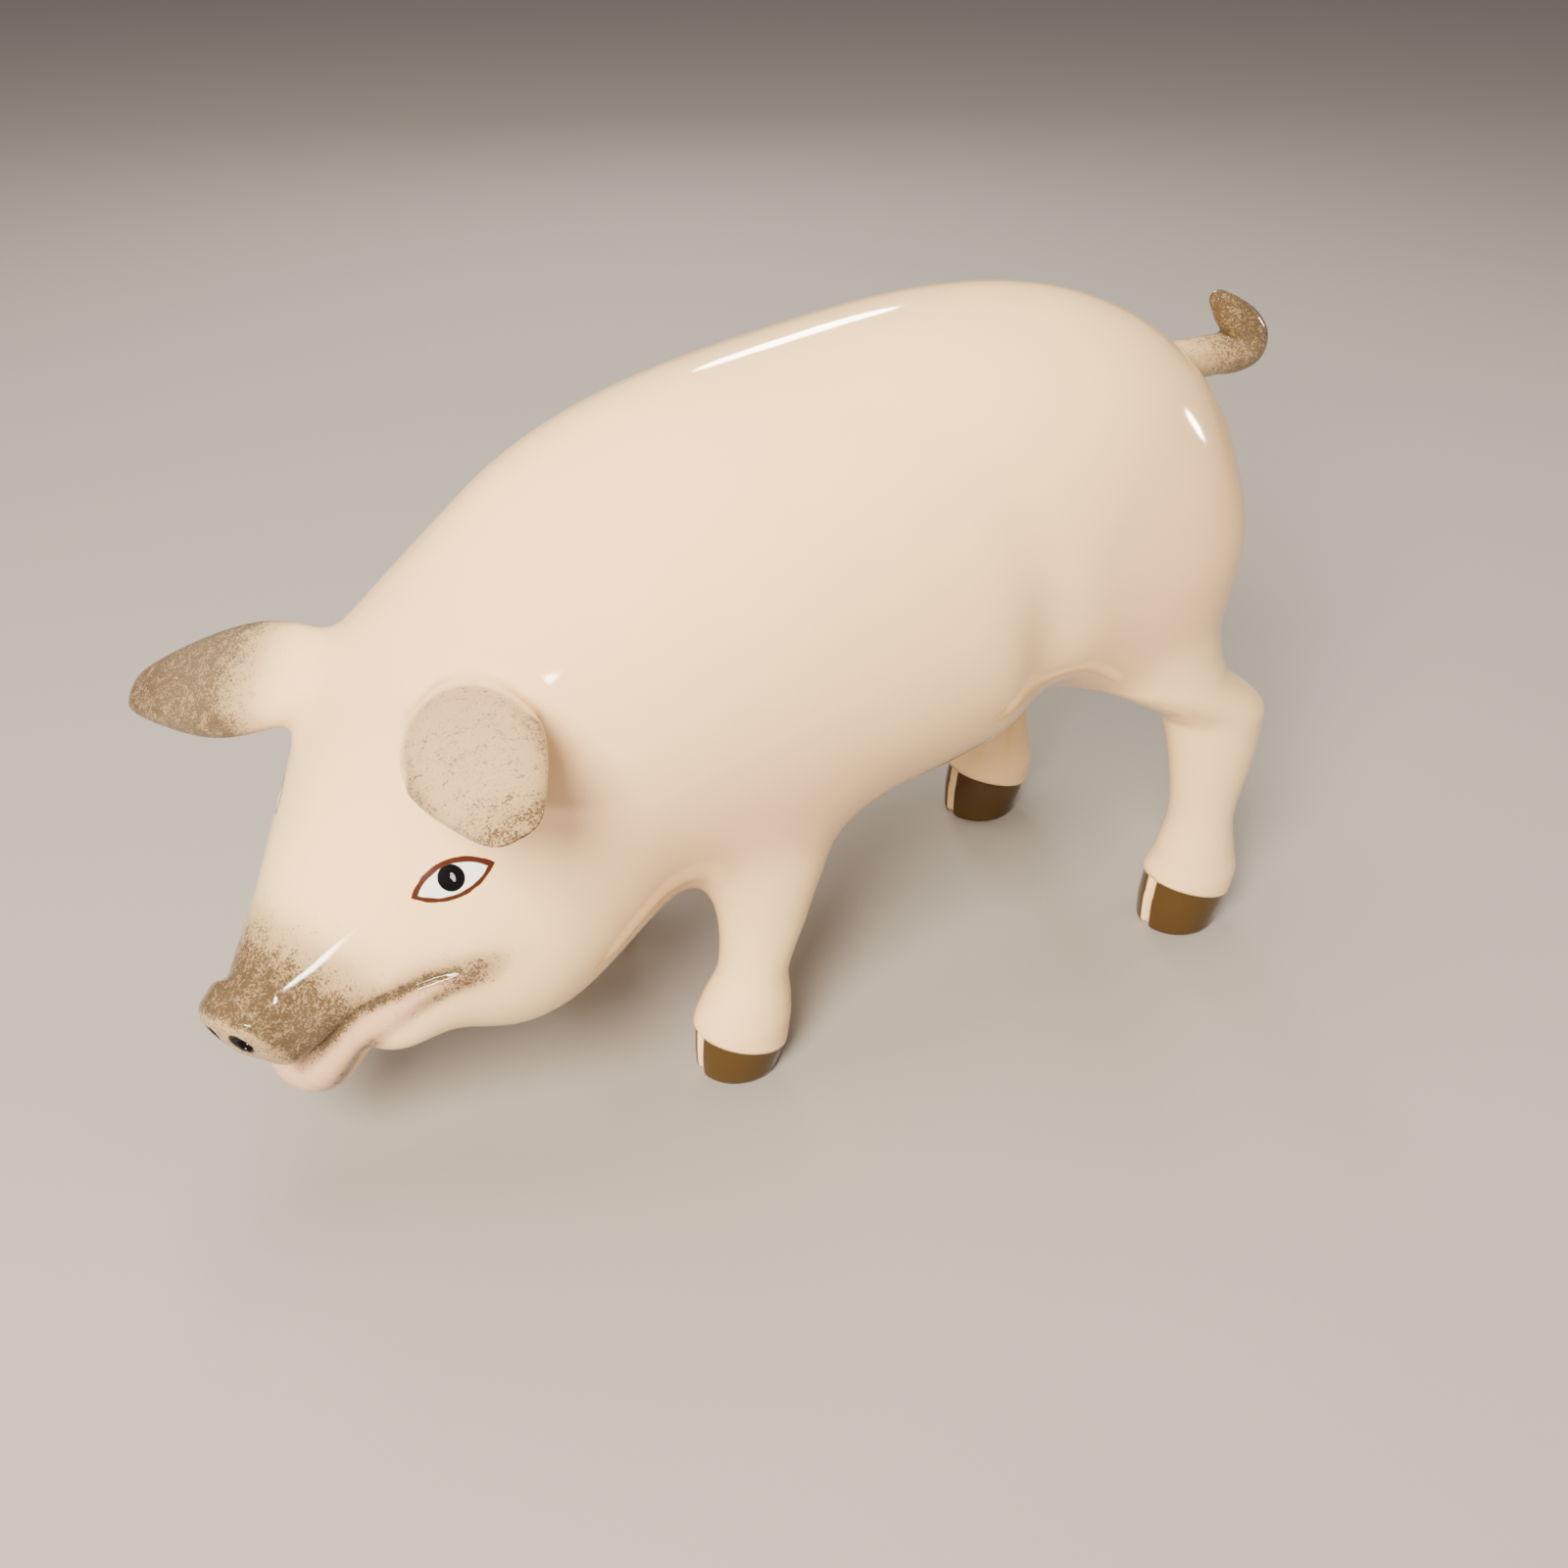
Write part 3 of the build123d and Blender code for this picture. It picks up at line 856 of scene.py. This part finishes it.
def drawn_at(tree, size_mm, detail):
    """Even noise about a half, whose grains are size_mm across."""
    place = node(tree, "ShaderNodeTexCoord", {}).outputs["Object"]
    inputs = {"Vector": place, "Scale": 1 / (size_mm * MM), "Detail": detail, "Roughness": 0.6}
    return node(tree, "ShaderNodeTexNoise", inputs).outputs["Fac"]


def ivory_body(tree, glaze):
    """China under clear glaze: warm ivory that drifts slightly, pinker in the hollows (part airbrush, part painted
    shade), amber where glaze ran.
    """
    drift = stepped(tree, drawn_at(tree, 26, 2), 0.35, 0.75)
    tone = laid_over(tree, (*glaze.ivory, 1), glaze.blush, reckoned(tree, "MULTIPLY", drift, 0.22))
    # Painted shade with pink airbrush in the hollows
    tone = laid_over(tree, tone, glaze.blush, reckoned(tree, "MULTIPLY", measured(tree, "blush"), 0.5))
    return laid_over(tree, tone, glaze.pooled, reckoned(tree, "MULTIPLY", measured(tree, "pool"), 0.7))


def airbrushed(tree, glaze, tone):
    """Droplets that close up as the spray gets denser, over a faint mist of the same colour."""
    density = measured(tree, "airbrush")
    droplets = drawn_at(tree, glaze.droplet / MM, 3)
    clouds = drawn_at(tree, 1.5, 3)
    level = reckoned(tree, "ADD", reckoned(tree, "MULTIPLY", density, 0.72), reckoned(tree, "MULTIPLY", droplets, 0.9))
    level = reckoned(tree, "ADD", level, reckoned(tree, "MULTIPLY", clouds, 0.55))
    speckle = reckoned(tree, "MULTIPLY", stepped(tree, level, 0.83, 1.46), stepped(tree, density, 0.0, 0.12))
    spray = node(tree, "ShaderNodeMix", {0: measured(tree, "umber"), 6: (*glaze.grey_speckle, 1),
                                         7: (*glaze.brown_speckle, 1)}, data_type="RGBA").outputs[2]
    veil = reckoned(tree, "MULTIPLY", stepped(tree, density, 0.2, 0.5), 0.12)
    mist = reckoned(tree, "ADD", reckoned(tree, "MULTIPLY", density, 0.66), veil)
    cover = reckoned(tree, "MAXIMUM", reckoned(tree, "MULTIPLY", speckle, 0.93), mist)
    return node(tree, "ShaderNodeMix", {0: cover, 6: tone, 7: spray}, data_type="RGBA").outputs[2]


def tinted_lip(tree, glaze, tone):
    """Thin pink wash on the lower lip."""
    return laid_over(tree, tone, glaze.lip, reckoned(tree, "MULTIPLY", measured(tree, "lip"), 0.75))


def drawn_eyes(tree, glaze, tone):
    """Dark nostrils, and eyes drawn with a fine brush: white, iris and two lid lines, with a painted highlight in the
    iris.
    """
    tone = laid_over(tree, tone, glaze.iris, stepped(tree, measured(tree, "nostril"), -0.45, -0.15))
    upper, lower = measured(tree, "upper_lid"), measured(tree, "lower_lid")
    within = reckoned(tree, "MINIMUM", upper, lower)
    tone = laid_over(tree, tone, glaze.eye_white, stepped(tree, within, -0.05, 0.15))
    iris = reckoned(tree, "MINIMUM", measured(tree, "iris"), within)
    tone = laid_over(tree, tone, glaze.iris, stepped(tree, iris, -0.06, 0.06))
    # Painted highlight in the iris
    tone = laid_over(tree, tone, glaze.glint, stepped(tree, measured(tree, "glint"), -0.06, 0.06))
    wobble = reckoned(tree, "MULTIPLY", drawn_at(tree, 1.6, 1), 0.26)
    upper_line = reckoned(tree, "SUBTRACT", reckoned(tree, "ADD", wobble, 0.24), reckoned(tree, "ABSOLUTE", upper))
    upper_line = reckoned(tree, "MINIMUM", upper_line, reckoned(tree, "ADD", lower, 0.3))
    lower_line = reckoned(tree, "SUBTRACT", reckoned(tree, "ADD", wobble, 0.16), reckoned(tree, "ABSOLUTE", lower))
    lower_line = reckoned(tree, "MINIMUM", lower_line, reckoned(tree, "ADD", upper, 0.05))
    line = reckoned(tree, "MAXIMUM", upper_line, lower_line)
    return laid_over(tree, tone, glaze.lid_line, stepped(tree, line, -0.07, 0.07))


def painted_toes(tree, glaze, tone):
    """Brown brush coat on the toes."""
    return laid_over(tree, tone, glaze.hoof, stepped(tree, measured(tree, "hoof"), -0.15, 0.2))


def glazed_china(name, coats):
    """Slip-cast earthenware under a fired clear gloss glaze: soft-edged body colour, sharp mirror highlights that
    waver slightly where the glaze ran."""
    glaze = bpy.context.scene.pig_glaze
    material = bpy.data.materials.new(name)
    material.use_nodes = True
    tree = material.node_tree
    tree.nodes.clear()
    tone = ivory_body(tree, glaze)
    for coat in coats:
        tone = coat(tree, glaze, tone)
    waver = node(tree, "ShaderNodeBump", {"Strength": 0.05, "Distance": 0.0006, "Height": drawn_at(tree, 7, 1)})
    shader = node(tree, "ShaderNodeBsdfPrincipled", {
        "Base Color": tone, "Roughness": 0.6, "Specular IOR Level": 0.0, "Coat Weight": 1.0, "Coat Roughness": 0.075,
        "Coat IOR": 1.5, "Coat Normal": waver.outputs["Normal"]})
    node(tree, "ShaderNodeOutputMaterial", {"Surface": shader.outputs["BSDF"]})
    return material


# Operators


class PIG_OT_torso(Operator):
    """Models the barrel of the torso"""
    bl_idname = "pig.torso"
    bl_label = "Torso"

    def execute(self, context):
        make_casting("torso", glazed_china("Earthenware, slip-cast, ivory clear glaze", ()), tints)
        return {"FINISHED"}


class PIG_OT_head(Operator):
    """Models the head with its painted face"""
    bl_idname = "pig.head"
    bl_label = "Head"

    def execute(self, context):
        coats = (tinted_lip, airbrushed, drawn_eyes)
        china = glazed_china("Earthenware, airbrushed snout and brushed eyes, clear glaze", coats)
        make_casting("head", china, face_paint)
        return {"FINISHED"}


class PIG_OT_ears(Operator):
    """Models both ears with their sprayed tips"""
    bl_idname = "pig.ears"
    bl_label = "Ears"

    def execute(self, context):
        china = glazed_china("Earthenware, airbrushed ears, clear glaze", (airbrushed,))
        for name in EAR_SIDES:
            make_casting(name, china, ear_paint)
        return {"FINISHED"}


class PIG_OT_legs(Operator):
    """Models the four legs with their painted toes"""
    bl_idname = "pig.legs"
    bl_label = "Legs"

    def execute(self, context):
        china = glazed_china("Earthenware, brushed toes, clear glaze", (painted_toes,))
        for name in LEGS:
            make_casting(name, china, hoof_paint)
        return {"FINISHED"}


class PIG_OT_tail(Operator):
    """Models the curled tail"""
    bl_idname = "pig.tail"
    bl_label = "Tail"

    def execute(self, context):
        make_casting("tail", glazed_china("Earthenware, airbrushed tail, clear glaze", (airbrushed,)), tail_paint)
        return {"FINISHED"}


# Stage
CAMERA_AZIMUTH, CAMERA_ELEVATION = radians(-27), radians(32)
CAMERA_TARGET = HOME + (-15.4, -16.0, 42.0)
CAMERA_DISTANCE = 229.7
CAMERA_LENS = 38.25


def area_light(name, heading, distance, size, power, tint, mirrored):
    """Oval light that looks at the pig from a heading; an unmirrored one leaves no highlight."""
    target = HOME + (0.0, 0.0, 50.0)
    place = target + np.array(heading) / np.linalg.norm(heading) * distance
    lamp = bpy.data.lights.new(name, "AREA")
    lamp.shape = "ELLIPSE"
    lamp.size, lamp.size_y = size[0] * MM, size[1] * MM
    lamp.energy = power
    lamp.color = linear(tint)
    light = bpy.data.objects.new(name, lamp)
    light.location = Vector(place) * MM
    light.rotation_euler = (Vector(target) * MM - light.location).to_track_quat("-Z", "Y").to_euler()
    light.visible_glossy = mirrored
    bpy.context.scene.collection.objects.link(light)


class PIG_OT_stage(Operator):
    """Lays the floor, hangs the lights and sets up the camera"""
    bl_idname = "pig.stage"
    bl_label = "Stage"

    def execute(self, context):
        stage = context.scene.pig_stage
        half = 4.0
        mesh = bpy.data.meshes.new("floor")
        mesh.from_pydata([(-half, -half, 0), (half, -half, 0), (half, half, 0), (-half, half, 0)], [], [(0, 1, 2, 3)])
        floor = bpy.data.objects.new("floor", mesh)
        paper = bpy.data.materials.new("Paper, matt backdrop roll")
        paper.use_nodes = True
        shader = paper.node_tree.nodes["Principled BSDF"]
        shader.inputs["Base Color"].default_value = (*stage.floor, 1)
        shader.inputs["Roughness"].default_value = 0.9
        mesh.materials.append(paper)
        context.scene.collection.objects.link(floor)
        area_light("overhead", (-0.1, 0.25, 1.0), 650.0, (600.0, 500.0), stage.overhead, "FFF1DE", False)
        area_light("fill", (-0.62, -0.58, 0.68), 650.0, (300.0, 300.0), stage.fill, "FFF1DE", False)
        area_light("strip", (0.31, 0.83, 0.46), 600.0, (150.0, 60.0), stage.strip, "FFF6EA", True)
        area_light("lamp", (-0.69, -0.63, 0.36), 1400.0, (280.0, 100.0), stage.lamp, "FFF6EA", True)
        area_light("far_lamp", (0.97, 0.0, 0.23), 500.0, (30.0, 45.0), stage.far_lamp, "FFF6EA", True)
        world = bpy.data.worlds.new("studio")
        world.use_nodes = True
        world.node_tree.nodes["Background"].inputs["Color"].default_value = (*linear("E4E2DF"), 1)
        world.node_tree.nodes["Background"].inputs["Strength"].default_value = 0.4
        context.scene.world = world
        back = np.array([sin(CAMERA_AZIMUTH) * cos(CAMERA_ELEVATION), -cos(CAMERA_AZIMUTH) * cos(CAMERA_ELEVATION),
                         sin(CAMERA_ELEVATION)])
        lens = bpy.data.cameras.new("camera")
        lens.lens = CAMERA_LENS
        lens.clip_start = 0.01
        camera = bpy.data.objects.new("camera", lens)
        camera.location = Vector((CAMERA_TARGET + back * CAMERA_DISTANCE) * MM)
        camera.rotation_euler = (pi / 2 - CAMERA_ELEVATION, 0, CAMERA_AZIMUTH)
        context.scene.collection.objects.link(camera)
        context.scene.camera = camera
        return {"FINISHED"}


class PIG_PT_panel(Panel):
    """Lists the pig's pieces, sizes and colours"""
    bl_label = "China pig"
    bl_idname = "PIG_PT_panel"
    bl_space_type = "VIEW_3D"
    bl_region_type = "UI"
    bl_category = "China pig"

    def draw(self, context):
        for operator in OPERATORS:
            self.layout.operator(operator.bl_idname)
        for group in (context.scene.pig_form, context.scene.pig_glaze, context.scene.pig_stage):
            for label in group.__annotations__:
                self.layout.prop(group, label)


GROUPS = {"pig_form": PigForm, "pig_glaze": PigGlaze, "pig_stage": PigStage}
OPERATORS = (PIG_OT_torso, PIG_OT_head, PIG_OT_ears, PIG_OT_legs, PIG_OT_tail, PIG_OT_stage)


def register():
    for kind in (*GROUPS.values(), *OPERATORS, PIG_PT_panel):
        bpy.utils.register_class(kind)
    for label, group in GROUPS.items():
        setattr(bpy.types.Scene, label, PointerProperty(type=group))


def unregister():
    for label in GROUPS:
        delattr(bpy.types.Scene, label)
    for kind in reversed((*GROUPS.values(), *OPERATORS, PIG_PT_panel)):
        bpy.utils.unregister_class(kind)


def main():
    register()
    bpy.ops.pig.stage()
    bpy.ops.pig.torso()
    bpy.ops.pig.head()
    bpy.ops.pig.ears()
    bpy.ops.pig.legs()
    bpy.ops.pig.tail()


if __name__ == "__main__":
    main()
